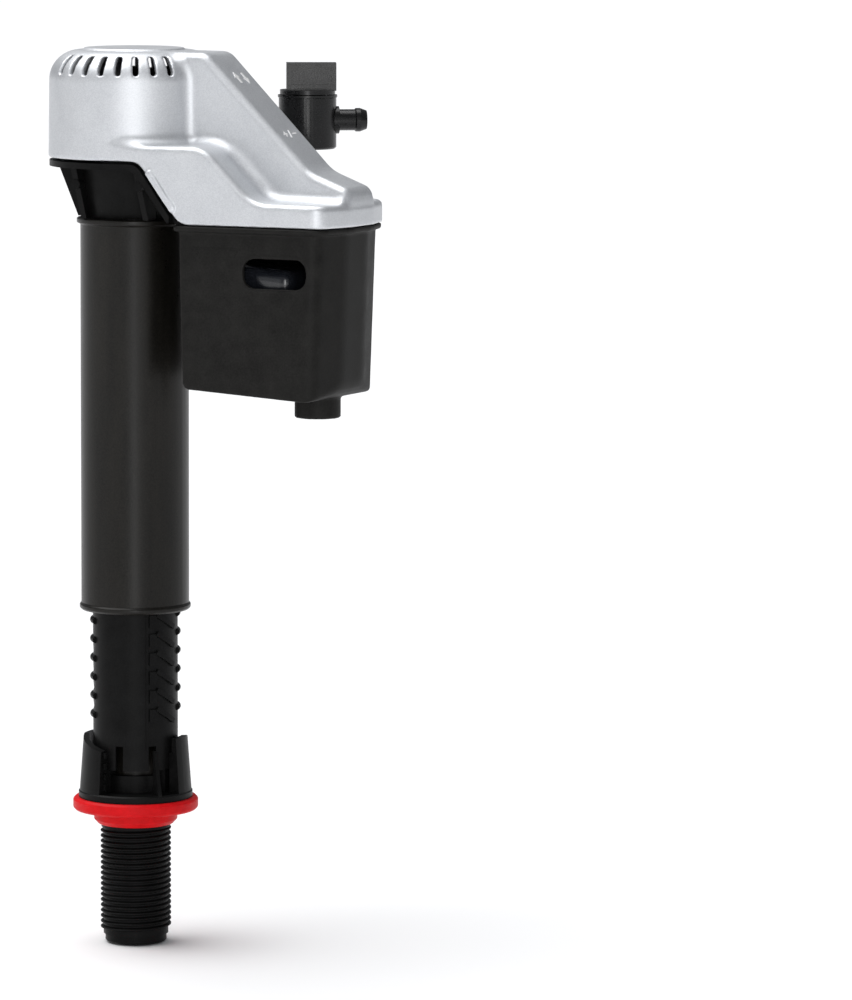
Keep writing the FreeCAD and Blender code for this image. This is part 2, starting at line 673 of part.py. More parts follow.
def float_cup():
    outer = cup_form(0)
    inner = cup_form(CUP_WALL)
    above = block((0, 100), (-40, 40), (CUP_TOP_Z, 280))
    rim_low = CUP_TOP_Z - CUP_FLANGE
    rim = plan_prism(inset(cup_plan(CUP_FRONT_HIGH), -1.7), rim_low, CUP_TOP_Z)
    mouth = plan_prism(inset(cup_plan(CUP_FRONT_HIGH), CUP_WALL + 1.6), rim_low - 1, CUP_TOP_Z + 1)
    centre = V(DRAIN_X, 0, 0)
    stub = disc(DRAIN_R, DRAIN_BOTTOM, DRAIN_FLOOR + 1.4, centre)
    stub_bore = disc(DRAIN_BORE, DRAIN_BOTTOM - 1, DRAIN_FLOOR, centre)
    drain_hole = disc(DRAIN_BORE - 1.6, DRAIN_BOTTOM, DRAIN_FLOOR + 3, centre)
    bars = [block((DRAIN_X - DRAIN_BORE - 0.5, DRAIN_X + DRAIN_BORE + 0.5), (-0.7, 0.7),
                  (DRAIN_BOTTOM, DRAIN_BOTTOM + 1.2)),
            block((DRAIN_X - 0.7, DRAIN_X + 0.7), (-DRAIN_BORE - 0.5, DRAIN_BORE + 0.5),
                  (DRAIN_BOTTOM, DRAIN_BOTTOM + 1.2))]
    slot = side_prism([(SLOT_X[0], SLOT_Z[0], 4), (SLOT_X[1], SLOT_Z[0], 4), (SLOT_X[1], SLOT_Z[1], 4),
                       (SLOT_X[0], SLOT_Z[1], 4)], -30, -12)
    shell = outer.cut(above).cut(inner)
    shell = joined(shell, rim.cut(mouth), stub)
    return joined(shell.cut(stub_bore).cut(drain_hole).cut(slot), *bars)


def drain_disc():
    low = DRAIN_BOTTOM + 1.5
    return turned([(0, low), (5.6, low), (5.6, low + 1.9), (2.0, low + 2.4), (0, low + 2.4)], V(DRAIN_X, 0, 0))


# ---------------------------------------------------------------- refill regulator

def refill_housing():
    shell = turned([(0, REFILL_BOTTOM), (REFILL_R - 0.6, REFILL_BOTTOM), (REFILL_R, REFILL_BOTTOM + 0.6),
                    (REFILL_R, REFILL_TOP - 1.0), (REFILL_R + 0.3, REFILL_TOP - 0.8),
                    (REFILL_R + 0.3, REFILL_TOP), (4.9, REFILL_TOP), (4.9, 225.5), (0, 225.5)], REFILL)
    along = port_direction()
    port_level = V(REFILL.x, REFILL.y, PORT_START.z)
    socket = Part.makeCylinder(5.7, SOCKET_LENGTH, port_level, -along)
    socket_bore = Part.makeCylinder(PORT_R + 0.03, SOCKET_LENGTH, port_level - along * SOCKET_FLOOR, -along)
    water_way = Part.makeCylinder(PORT_BORE, 8.0, port_level - along * 1.0, -along)
    rise = Part.makeCylinder(PORT_BORE, 4.5, V(REFILL.x, REFILL.y, PORT_START.z - 0.6))
    out = V(math.cos(math.radians(NOZZLE_ANGLE)), math.sin(math.radians(NOZZLE_ANGLE)), 0)
    level = V(REFILL.x, REFILL.y, NOZZLE_Z)
    nozzle = turned([(0, 6), (NOZZLE_R, 6), (NOZZLE_R, BARB_START - 0.4), (BARB_R, BARB_START),
                     (BARB_R, BARB_START + BARB_LAND), (NOZZLE_R - 0.4, NOZZLE_END), (0, NOZZLE_END)])
    nozzle.rotate(ORIGIN, V(0, 1, 0), 90)
    nozzle.rotate(ORIGIN, UP, NOZZLE_ANGLE)
    nozzle.translate(level)
    nozzle_bore = Part.makeCylinder(2.2, NOZZLE_END, level + out * 3, out)
    boss = Part.makeCylinder(4.6, 3.0, level + out * (REFILL_R - 2.2), out)
    ribs = []
    for angle in (-66, -54):
        rib = block((REFILL_R - 1, REFILL_R + 0.45), (-0.5, 0.5), (REFILL_BOTTOM + 1, REFILL_TOP - 0.5))
        rib.rotate(ORIGIN, UP, angle)
        rib.translate(REFILL)
        ribs.append(rib)
    whole = joined(shell, socket, nozzle, boss, *ribs)
    knob_well = disc(4.9, 225.5, REFILL_TOP + 1, REFILL)
    return whole.cut([socket_bore, water_way, rise, nozzle_bore, knob_well])


def refill_port_oring():
    along = port_direction()
    middle = V(REFILL.x, REFILL.y, PORT_START.z) - along * (SOCKET_FLOOR + PORT_END) / 2
    return Part.makeTorus(PORT_R - 1.0, 0.42, middle, along)


def refill_knob():
    stem = turned([(0, 226.2), (3.9, 226.2), (3.9, 234.0), (3.6, 234.0), (3.6, 236.4), (4.84, 236.4),
                   (4.84, REFILL_TOP + GAP), (REFILL_R - 0.4, REFILL_TOP + GAP),
                   (REFILL_R - 0.4, REFILL_TOP + 1.7), (0, REFILL_TOP + 1.7)], REFILL)
    blade = block((BLADE_SHIFT - 8.3, BLADE_SHIFT + 8.3), (-3.4, 3.4), (REFILL_TOP + 1.4, 250.2))
    frame_cut = 0.7
    for side in (-1, 1):
        recess = block((BLADE_SHIFT - 6.6, BLADE_SHIFT + 6.6), sorted((side * (3.4 - frame_cut), side * 4.4)),
                       (REFILL_TOP + 3.4, 248.6))
        blade = blade.cut(recess)
    blade.rotate(ORIGIN, UP, KNOB_ANGLE)
    blade.translate(REFILL)
    port = Part.makeCylinder(1.8, 12, V(REFILL.x - 6, REFILL.y, NOZZLE_Z), V(1, 0, 0))
    return joined(stem, blade).cut(port)


def knob_oring():
    return torus(4.22, 0.6, 235.2, REFILL)


NODES = {
    "shank_base": shank_base,
    "shank_washer": shank_washer,
    "lower_riser": lambda: tube(LOWER_RISER_BORE, LOWER_RISER_R, LOWER_RISER_BOTTOM, LOWER_RISER_TOP),
    "lower_sleeve": lower_sleeve,
    "outer_sleeve": outer_sleeve,
    "upper_riser": upper_riser,
    "riser_orings": riser_orings,
    "debris_screen": debris_screen,
    "valve_body": valve_body,
    "diaphragm": diaphragm,
    "diaphragm_core": diaphragm_core,
    "bonnet": bonnet,
    "bonnet_ring": bonnet_ring,
    "seal_plunger": seal_plunger,
    "pilot_seal": pilot_seal,
    "float_lever": float_lever,
    "float_block": float_block,
    "lever_pin": lever_pin,
    "float_cup": float_cup,
    "drain_disc": drain_disc,
    "refill_housing": refill_housing,
    "refill_port_oring": refill_port_oring,
    "refill_knob": refill_knob,
    "knob_oring": knob_oring,
    "cover": cover,
}

os.makedirs("parts", exist_ok=True)
for name, make in NODES.items():
    shape = make()
    solids = shape.Solids
    whole = solids[0] if len(solids) == 1 else Part.makeCompound(solids)
    print(name, len(solids), whole.isValid(), round(whole.Volume, 1))
    whole.exportStep("parts/" + name + ".step")
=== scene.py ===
import json
import math

import bpy
import numpy as np
from mathutils import Matrix, Vector


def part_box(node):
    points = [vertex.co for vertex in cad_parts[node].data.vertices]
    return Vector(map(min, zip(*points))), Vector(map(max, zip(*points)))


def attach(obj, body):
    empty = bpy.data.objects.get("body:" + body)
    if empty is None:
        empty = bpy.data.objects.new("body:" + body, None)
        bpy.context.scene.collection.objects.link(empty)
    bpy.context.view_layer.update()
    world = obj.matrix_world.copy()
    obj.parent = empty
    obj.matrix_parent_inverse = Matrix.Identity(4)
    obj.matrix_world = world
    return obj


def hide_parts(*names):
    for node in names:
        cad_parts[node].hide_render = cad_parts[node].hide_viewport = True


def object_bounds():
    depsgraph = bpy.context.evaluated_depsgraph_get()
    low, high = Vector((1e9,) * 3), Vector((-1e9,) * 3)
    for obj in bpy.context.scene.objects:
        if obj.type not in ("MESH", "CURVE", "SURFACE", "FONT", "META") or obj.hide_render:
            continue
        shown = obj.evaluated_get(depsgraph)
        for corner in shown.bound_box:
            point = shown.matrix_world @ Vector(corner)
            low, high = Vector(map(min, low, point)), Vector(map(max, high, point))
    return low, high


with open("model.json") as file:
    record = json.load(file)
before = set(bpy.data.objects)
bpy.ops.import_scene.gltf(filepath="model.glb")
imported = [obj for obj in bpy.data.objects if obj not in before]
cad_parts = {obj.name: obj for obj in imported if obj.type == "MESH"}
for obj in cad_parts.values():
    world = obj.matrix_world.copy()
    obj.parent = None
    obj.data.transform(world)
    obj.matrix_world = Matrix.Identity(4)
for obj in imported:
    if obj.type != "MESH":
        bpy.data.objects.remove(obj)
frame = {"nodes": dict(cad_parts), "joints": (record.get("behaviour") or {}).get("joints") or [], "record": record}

cad_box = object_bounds()
record = frame["record"]

# Shapes are worked out in millimetres, in the part's own frame, and stored in metres.
MM = 0.001
X, Y, Z = range(3)


def limits(node, axis):
    """The lowest and highest place of a CAD node along an axis, in millimetres."""
    return [round(corner[axis] / MM, 2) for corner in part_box(node)]


def named(entries, name):
    """The entry of that name in a list of the record."""
    return next(entry for entry in entries if entry["name"] == name)


# Cover: the round head, the low skirt over the cup and the sloping spine between them
WALL = 2.2
COVER_EDGE, PLATEAU_TOP = limits("cover", Z)
PLATEAU_R = 16.8
HEAD_FOOT_R = 28.5
HEAD_SHOULDER_R = 28.1
HEAD_FOOT = 219.0
HEAD_TOP = 254.9
SHOULDER = 10.0
SKIRT_ROOT_HALF = 28.4
SKIRT_END = (82.2, 22.4)
SKIRT_NOSE = (86.1, 7.0)
SKIRT_END_TOP = 206.6
LEDGE_LOW = (57.7, 207.0)
LEDGE_HIGH = (39.8, 224.9)
SPINE_ROOT_HALF = 10.2
SPINE_END = (85.6, 9.4)
SPINE_END_TOP = 208.7
SPINE_TOP = 254.8
SLOPE_FOOT = (70.8, 216.6)
SLOPE_HEAD = (32.0, SPINE_TOP)
NOSE_ROUND = 20.0
COVER_HIGH_EDGE = 219.4
EDGE_HIGH_X = 16.6
EDGE_LOW_X = 31.4
TAB_START = 4.5
TAB_END = 20.5
TAB_WIDTH = 2.4
TAB_RISE = 0.8
TAB_INNER_Y = 22.0
VENT_COUNT = 8
VENT_PITCH = 12.4
VENT_FIRST = 121.4
VENT_HALF = 0.95
VENT_LOW = 247.1
VENT_HIGH = 253.3
VENT_INNER_R = 14.0
NOTCH_X = (4.0, 31.8)
NOTCH_Y = (15.0, 34.0)
NOTCH_TOP = 226.2

# Open sides of an outline run out to here, well clear of the part
AWAY_X = (-40.0, 92.0)
AWAY_Z = 170.0

# Float cup
CUP_WALL = 1.6
DRAIN_BOTTOM, CUP_TOP = limits("float_cup", Z)
CUP_BACK = 30.2
CUP_BACK_LOW = 31.9
CUP_BACK_HALF = 25.0
CUP_END_HALF = 21.4
CUP_END_DEPTH = 3.6
CUP_NOSE_HALF = 7.0
CUP_FRONT = (81.2, 84.2)
CUP_FRONT_Z = (130.0, 205.0)
CUP_FLOOR = ((CUP_BACK_LOW, 145.2), (82.2, 142.0))
CUP_SIDE_TOP = 230.0
RIM_REACH = 1.7
RIM_HEIGHT = 1.8
SLOT_X = (53.8, 76.1)
SLOT_Z = (179.2, 188.9)
SLOT_ROUND = 4.0
SLOT_INNER_Y = 12.0
DRAIN_X = 69.1
DRAIN_FLOOR = 143.6
DRAIN_R = 7.6
DRAIN_WELL_R = 6.0
DRAIN_BORE_R = 4.4
DRAIN_BAR_HALF = 0.7
DRAIN_BAR_REACH = 6.4
DRAIN_BAR_RISE = 1.2

# Float, in its own level frame before it is turned to its rest tilt
FLOAT_CENTRE = (58.75, 0.0, 173.0)
FLOAT_HALF = (14.75, 18.0, 16.0)
FLOAT_ROUND = 4.0
FLOAT_TILT = 4.5
POCKET_X = (46.5, 64.1)
POCKET_HALF = 8.1
POCKET_FLOOR = 186.9

# Outer sleeve, shank washer and shank thread
SLEEVE_LOW, SLEEVE_TOP = limits("outer_sleeve", Z)
SLEEVE_RIM_R = limits("outer_sleeve", X)[1]
SLEEVE_R = 18.04
SLEEVE_BEAD_R = 18.6
SLEEVE_BORE_R = 16.04
WASHER_LOW, WASHER_TOP = limits("shank_washer", Z)
WASHER_R = limits("shank_washer", X)[1]
WASHER_BORE_R = 11.6
HOLE_R = named(record["mounts"], "tank_hole")["dims"]["r_mm"]
HOLE_DEPTH = named(record["mounts"], "tank_hole")["dims"]["length_mm"]
THREAD_CREST_R = named(record["mounts"], "shank_thread")["dims"]["r_mm"] - 0.05
THREAD_ROOT_R = 10.9
THREAD_PITCH = 25.4 / 14
THREAD_LOW = -42.0
THREAD_TURNS = 19.5
THREAD_STEPS = 72
THREAD_FADE = 2.5

# Edge length of the grid on which the smooth shells are found
CELL = 0.5


# ---------------------------------------------------------------- distance fields

def rounded(corners, steps=6):
    """The points of an outline given as (a, b, radius) corners, each radius drawn as an arc."""
    points = []
    for index, (a, b, radius) in enumerate(corners):
        here = np.array((a, b), float)
        before = np.array(corners[index - 1][:2], float) - here
        after = np.array(corners[(index + 1) % len(corners)][:2], float) - here
        before /= np.linalg.norm(before)
        after /= np.linalg.norm(after)
        if not radius:
            points.append(here)
            continue
        half = math.acos(np.clip(before @ after, -1, 1)) / 2
        middle = (before + after) / np.linalg.norm(before + after)
        centre = here + middle * radius / math.sin(half)
        start = here + before * radius / math.tan(half) - centre
        end = here + after * radius / math.tan(half) - centre
        swing = math.acos(np.clip(start @ end / radius ** 2, -1, 1))
        for step in range(steps + 1):
            share = step / steps
            arm = math.sin((1 - share) * swing) * start + math.sin(share * swing) * end
            points.append(centre + arm / math.sin(swing))
    return points


def outline(corners, u, v):
    """Signed distance from (u, v) to a rounded outline, negative inside."""
    points = rounded(corners)
    nearest = np.inf
    inside = False
    for (au, av), (bu, bv) in zip(points, points[1:] + points[:1]):
        eu, ev = bu - au, bv - av
        share = np.clip(((u - au) * eu + (v - av) * ev) / (eu * eu + ev * ev), 0, 1)
        nearest = np.minimum(nearest, (u - au - share * eu) ** 2 + (v - av - share * ev) ** 2)
        if abs(ev) > 1e-9:
            inside = inside ^ (((av <= v) != (bv <= v)) & (u < au + eu * (v - av) / ev))
    return np.sqrt(nearest) * np.where(inside, -1, 1)


def both(first, second, radius=0.0):
    """Where two solids meet, with their shared edge rounded off."""
    if not radius:
        return np.maximum(first, second)
    corner = np.hypot(np.maximum(first + radius, 0), np.maximum(second + radius, 0))
    return np.minimum(np.maximum(first, second) + radius, 0) + corner - radius


def either(first, second, radius=0.0):
    """Two solids joined, with a fillet in the corner between them."""
    return -both(-first, -second, radius)


def moulded(first, second, radius):
    """Two solids joined with a fillet that fades out where their faces run the same way."""
    shape = np.broadcast_shapes(first.shape, second.shape)
    slopes = [np.gradient(np.broadcast_to(field, shape).astype(np.float32)) for field in (first, second)]
    dot = sum(a * b for a, b in zip(*slopes))
    length = np.sqrt(sum(a * a for a in slopes[0]) * sum(b * b for b in slopes[1]))
    size = radius * np.clip(1.0 - dot / np.maximum(length, 1e-6), 0, 1) + 1e-3
    corner = np.hypot(np.maximum(size - first, 0), np.maximum(size - second, 0))
    return np.maximum(np.minimum(first, second) - size, 0) - corner + size


def between(low, high, value):
    """Signed distance to a slab."""
    return np.maximum(low - value, value - high)


def surface(name, low, high, field):
    """A closed mesh round the space where field(x, y, z) is negative, found on a grid of cells."""
    axes = [np.arange(a, b + CELL, CELL, dtype=np.float32) for a, b in zip(low, high)]
    values = field(axes[0][:, None, None], axes[1][None, :, None], axes[2][None, None, :])
    values = np.broadcast_to(values, [len(a) for a in axes]).astype(np.float32)
    inside = values < 0
    shape = tuple(len(a) - 1 for a in axes)

    def corner(array, offset):
        return array[tuple(slice(o, o + n) for o, n in zip(offset, shape))]

    total = [np.zeros(shape, np.float32) for _ in range(3)]
    count = np.zeros(shape, np.float32)
    for axis in range(3):
        for edge in range(4):
            start = [0, 0, 0]
            start[(axis + 1) % 3] = edge % 2
            start[(axis + 2) % 3] = edge // 2
            end = list(start)
            end[axis] = 1
            crosses = corner(inside, start) != corner(inside, end)
            here, there = corner(values, start), corner(values, end)
            total[axis] += np.where(crosses, here / np.where(crosses, here - there, 1), 0)
            for other in ((axis + 1) % 3, (axis + 2) % 3):
                total[other] += crosses * start[other]
            count += crosses
    active = count > 0
    index = np.full(shape, -1, np.int64)
    index[active] = np.arange(np.count_nonzero(active))
    cells = np.argwhere(active)
    points = cells + np.stack([t[active] for t in total], 1) / count[active][:, None]
    points = (points * CELL + np.array(low)) * MM
    quads = []
    for axis in range(3):
        u, v = np.eye(3, dtype=int)[[(axis + 1) % 3, (axis + 2) % 3]]
        span = [slice(None)] * 3
        ahead = [slice(None)] * 3
        span[axis], ahead[axis] = slice(0, -1), slice(1, None)
        solid = inside[tuple(span)]
        for facing in (True, False):
            at = np.argwhere((solid == facing) & (inside[tuple(ahead)] != facing))
            ring = [at - u - v, at - v, at, at - u]
            quad = np.stack([index[tuple(p.T)] for p in ring], 1)
            quads.append(quad if facing else quad[:, ::-1])
    return mesh_object(name, points, np.concatenate(quads))


# ---------------------------------------------------------------- mesh helpers

def mesh_object(name, points, faces):
    """A smooth-shaded object from points in metres and faces with one number of corners."""
    points = np.asarray(points, np.float32)
    faces = np.asarray(faces, np.int32)
    mesh = bpy.data.meshes.new(name)
    mesh.vertices.add(len(points))
    mesh.vertices.foreach_set("co", points.ravel())
    mesh.loops.add(faces.size)
    mesh.loops.foreach_set("vertex_index", faces.ravel())
    mesh.polygons.add(len(faces))
    mesh.polygons.foreach_set("loop_start", np.arange(len(faces), dtype=np.int32) * faces.shape[1])
    mesh.update(calc_edges=True)
    mesh.validate()
    mesh.shade_smooth()
    made = bpy.data.objects.new(name, mesh)
    bpy.context.scene.collection.objects.link(made)
    return made


def lathe(name, corners, segments=128, seam=0.0):
    """A turned piece from (radius, height, rounding) corners; seam raises a parting line on two sides."""
    profile = np.array(rounded(corners, 5))
    angles = np.arange(segments) * 2 * math.pi / segments
    radius = profile[:, 0][None, :] + seam * np.exp(-((np.sin(angles) / 0.02) ** 2))[:, None]
    points = np.stack([radius * np.cos(angles)[:, None], radius * np.sin(angles)[:, None],
                       np.broadcast_to(profile[:, 1], radius.shape)], -1).reshape(-1, 3)
    count = len(profile)
    around, along = np.meshgrid(np.arange(segments), np.arange(count), indexing="ij")
    beside, next_ = (around + 1) % segments, (along + 1) % count
    faces = np.stack([around * count + along, beside * count + along, beside * count + next_,
                      around * count + next_], -1).reshape(-1, 4)
    return mesh_object(name, points * MM, faces)


def copy_of(node, name):
    """A new object with a CAD node's mesh, to be reworked."""
    made = bpy.data.objects.new(name, frame["nodes"][node].data.copy())
    bpy.context.scene.collection.objects.link(made)
    return made


def finish_piece(piece, body, material, slot, *nodes):
    """Gives a piece its look and body, and lets it stand for CAD nodes."""
    piece.data.materials.clear()
    piece.data.materials.append(material)
    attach(piece, body)
    if nodes:
        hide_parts(*nodes)


# ---------------------------------------------------------------- cover

def mirrored(corners):
    """An outline from above: its corners on the near side, then the same ones on the far side."""
    return corners + [(x, -y, radius) for x, y, radius in reversed(corners)]


def skirt_plan():
    """The low part of the cover from above; it runs out of the head along a tangent."""
    back = HEAD_FOOT_R - 0.3
    flare = SKIRT_ROOT_HALF + back * (SKIRT_ROOT_HALF - SKIRT_END[1]) / SKIRT_END[0]
    return mirrored([(-back, -flare, back - 0.2), (SKIRT_END[0], -SKIRT_END[1], 6),
                     (SKIRT_NOSE[0], -SKIRT_NOSE[1], NOSE_ROUND)])


def cover_outside(x, y, z):
    """The filled cover, with moulded fillets where its three forms meet."""
    r = np.hypot(x, y)
    draft = (HEAD_FOOT_R - HEAD_SHOULDER_R) * np.clip((z - HEAD_FOOT) / (HEAD_TOP - HEAD_FOOT), 0, 1)
    head = both(r - HEAD_FOOT_R + draft, z - HEAD_TOP, SHOULDER)
    skirt_side = [(AWAY_X[0], AWAY_Z, 0), (AWAY_X[1], AWAY_Z, 0), (AWAY_X[1], SKIRT_END_TOP, 0),
                  (*LEDGE_LOW, 12), (*LEDGE_HIGH, 12), (AWAY_X[0], LEDGE_HIGH[1], 0)]
    spine_side = [(0, AWAY_Z, 0), (AWAY_X[1], AWAY_Z, 0), (AWAY_X[1], SPINE_END_TOP, 0),
                  (*SLOPE_FOOT, 14), (*SLOPE_HEAD, 6), (0, SPINE_TOP, 0)]
    spine_plan = mirrored([(0, -SPINE_ROOT_HALF, 0), (SPINE_END[0], -SPINE_END[1], 3)])
    skirt = both(either(outline(skirt_side, x, z), head, 4.0), outline(skirt_plan(), x, y), 2.0)
    spine = both(outline(spine_side, x, z), outline(spine_plan, x, y), 2.8)
    return moulded(np.minimum(head, skirt), spine, 4.0)


def vents(x, y, z):
    """The rounded slots through the shoulder of the head."""
    r = np.hypot(x, y)
    angle = np.abs(np.degrees(np.arctan2(y, x)))
    step = np.clip(np.round((VENT_FIRST - angle) / VENT_PITCH), 0, VENT_COUNT - 1)
    across = r * np.sin(np.radians(angle - VENT_FIRST + step * VENT_PITCH))
    above = between(VENT_LOW + VENT_HALF, VENT_HIGH - VENT_HALF, z)
    slot = np.hypot(across, np.maximum(above, 0)) - VENT_HALF
    return both(slot, VENT_INNER_R - r)


def snap_tab():
    """The raised strip along the slanting edge, as an (x, z) outline."""
    start = np.array((EDGE_HIGH_X, COVER_HIGH_EDGE))
    run = np.array((EDGE_LOW_X, COVER_EDGE)) - start
    run /= np.linalg.norm(run)
    inwards = np.array((-run[1], run[0]))
    corners = []
    for along, across, radius in ((TAB_START, -1, 0), (TAB_END, -1, 0), (TAB_END, TAB_WIDTH, 1.5),
                                  (TAB_START, TAB_WIDTH, 0.5)):
        corners.append((*(start + run * along + inwards * across), radius))
    return corners


def cover_field(x, y, z):
    """The cover as a shell, with its plateau, snap tabs, vents, cut lower edge and port notch."""
    outside = cover_outside(x, y, z)
    plateau = both(np.hypot(x, y) - PLATEAU_R, between(HEAD_TOP - 1, PLATEAU_TOP, z), 0.6)
    filled = either(outside, plateau, 0.4)
    tab = both(outline(snap_tab(), x, z), outline(skirt_plan(), x, y) - TAB_RISE, 0.4)
    tab = both(tab, TAB_INNER_Y - np.abs(y))
    shell = both(either(filled, tab, 0.3), -(outside + WALL), 0.4)
    below = [(AWAY_X[0], AWAY_Z, 0), (AWAY_X[1], AWAY_Z, 0), (AWAY_X[1], COVER_EDGE, 0),
             (EDGE_LOW_X, COVER_EDGE, 7), (EDGE_HIGH_X, COVER_HIGH_EDGE, 6),
             (AWAY_X[0], COVER_HIGH_EDGE, 0)]
    shell = both(shell, -outline(below, x, z), 0.5)
    shell = both(shell, -vents(x, y, z), 0.35)
    notch = both(both(between(*NOTCH_X, x), between(*NOTCH_Y, y)), z - NOTCH_TOP)
    return both(shell, -notch, 0.3)


def raised_marks(name, outlines, place, low, high):
    """Raised marks: outlines drawn out from height low to high; place(a, b, height) puts their points."""
    points = []
    faces = []
    for shape in outlines:
        start = len(points)
        for height in (low, high):
            points.extend(place(a, b, height) * MM for a, b in shape)
        count = len(shape)
        faces.append([start + count + i for i in range(count)])
        faces.append([start + i for i in reversed(range(count))])
        for i in range(count):
            j = (i + 1) % count
            faces.append([start + i, start + j, start + count + j, start + count + i])
    mesh = bpy.data.meshes.new(name)
    mesh.from_pydata(points, [], faces)
    made = bpy.data.objects.new(name, mesh)
    bpy.context.scene.collection.objects.link(made)
    return made


def slope_mark(name, outlines, along):
    """Marks on the cover's slope, that far up from its foot; outlines are in the plane of the slope."""
    foot, head = (Vector((x, 0, z)) for x, z in (SLOPE_FOOT, SLOPE_HEAD))
    up = (head - foot).normalized()
    side = Vector((0, 1, 0))
    out = side.cross(up)
    centre = foot + up * along

    def place(a, b, height):
        return centre + side * a + up * b + out * height

    return raised_marks(name, outlines, place, -0.3, 0.18)


def bar(a, b, half_a, half_b, tilt=0.0):
    """A small oblong, turned by tilt degrees."""
    turn = Matrix.Rotation(math.radians(tilt), 2)
    return [tuple(turn @ Vector((u, v)) + Vector((a, b))) for u, v in
            ((-half_a, -half_b), (half_a, -half_b), (half_a, half_b), (-half_a, half_b))]


def plus_shape(a, b, arm, half):
    """A plus sign with arms of that length and half width."""
    return [(a + u, b + v) for u, v in
            ((-half, -arm), (half, -arm), (half, -half), (arm, -half), (arm, half), (half, half),
             (half, arm), (-half, arm), (-half, half), (-arm, half), (-arm, -half), (-half, -half))]


def arrow_shape(a, b, width, height):
    """An arrowhead that points up the slope, or down it for a negative height."""
    corners = [(a - width, b), (a + width, b), (a, b + height)]
    return corners if height > 0 else corners[::-1]


def make_cover():
    """The cover's mesh, found in a box a little wider than the part."""
    low, high = (-30.0, -30.2, 197.0), (87.6, 30.2, 257.0)
    return surface("cover_shell", low, high, cover_field)


# ---------------------------------------------------------------- float cup

def cup_plan(x, y, z):
    """Distance to the cup's outline from above; its far end leans out towards the top."""
    corners = mirrored([(CUP_BACK, -CUP_BACK_HALF, 1.5), (CUP_FRONT[0] - CUP_END_DEPTH, -CUP_END_HALF, 5),
                        (CUP_FRONT[0], -CUP_NOSE_HALF, NOSE_ROUND)])
    lean = (CUP_FRONT[1] - CUP_FRONT[0]) * (z - CUP_FRONT_Z[0]) / (CUP_FRONT_Z[1] - CUP_FRONT_Z[0])
    scale = (CUP_FRONT[0] - CUP_BACK) / (CUP_FRONT[0] + lean - CUP_BACK)
    return outline(corners, CUP_BACK + (x - CUP_BACK) * scale, y)


def cup_slot(x, z):
    """Distance to the level slot's outline, seen from the near side."""
    sides = []
    for value, (low, high) in ((x, SLOT_X), (z, SLOT_Z)):
        half = (high - low) / 2 - SLOT_ROUND
        sides.append(np.maximum(np.abs(value - (low + high) / 2) - half, 0))
    return np.hypot(*sides) - SLOT_ROUND


def cup_field(x, y, z):
    """The open cup with its rim, its drain stub with a cross of bars, and its level slot."""
    plan = cup_plan(x, y, z)
    side = outline([(*CUP_FLOOR[0], 2.5), (*CUP_FLOOR[1], 7.5), (85.6, CUP_SIDE_TOP, 0),
                    (CUP_BACK - 1.0, CUP_SIDE_TOP, 0)], x, z)
    form = both(plan, side, 0.8)
    cup = both(form, z - CUP_TOP, 0.3)
    rim = both(plan - RIM_REACH, between(CUP_TOP - RIM_HEIGHT, CUP_TOP, z), 0.35)
    rim = both(rim, -(plan + 2 * CUP_WALL), 0.3)
    hollow = both(plan + CUP_WALL, side + CUP_WALL, 1.2)
    cup = either(both(cup, -hollow, 0.3), rim, 0.5)
    from_drain = np.hypot(x - DRAIN_X, y)
    stub = both(from_drain - DRAIN_R, between(DRAIN_BOTTOM, DRAIN_FLOOR + 1.4, z), 0.4)
    cup = either(cup, stub, 0.6)
    well = both(from_drain - DRAIN_WELL_R, between(DRAIN_BOTTOM - 5, DRAIN_FLOOR, z))
    cup = both(cup, -well, 0.3)
    cup = both(cup, -both(from_drain - DRAIN_BORE_R, between(DRAIN_BOTTOM, DRAIN_FLOOR + 6, z)))
    along_y = np.maximum(np.abs(x - DRAIN_X) - DRAIN_BAR_HALF, np.abs(y) - DRAIN_BAR_REACH)
    along_x = np.maximum(np.abs(y) - DRAIN_BAR_HALF, np.abs(x - DRAIN_X) - DRAIN_BAR_REACH)
    bars = both(np.minimum(along_x, along_y), between(DRAIN_BOTTOM, DRAIN_BOTTOM + DRAIN_BAR_RISE, z))
    cup = either(cup, bars)
    slot = cup_slot(x, z)
    lip = both(both(slot - 0.9, -(plan + CUP_WALL)), both(plan - 0.25, y + SLOT_INNER_Y), 0.25)
    cup = either(cup, lip, 0.2)
    return both(cup, -both(slot, y + SLOT_INNER_Y), 0.4)


def level_mark():
    """A raised water-line mark on the near wall of the cup: a line and two pointers."""
    start = Vector((CUP_BACK, -CUP_BACK_HALF, 0))
    wall = Vector((CUP_FRONT[1] - CUP_END_DEPTH, -CUP_END_HALF, 0)) - start
    wall.normalize()
    out = Vector((wall.y, -wall.x, 0))

    def place(a, b, height):
        return start + wall * a + out * height + Vector((0, 0, b))

    line = [(5, 191.6), (23, 191.6), (23, 191.9), (5, 191.9)]
    pointers = [[(a, 189.4), (a + 1, 191.0), (a - 1, 191.0)] for a in (7, 20.5)]
    return raised_marks("cup_level_mark", [line, *pointers], place, -0.3, 0.15)


# ---------------------------------------------------------------- float

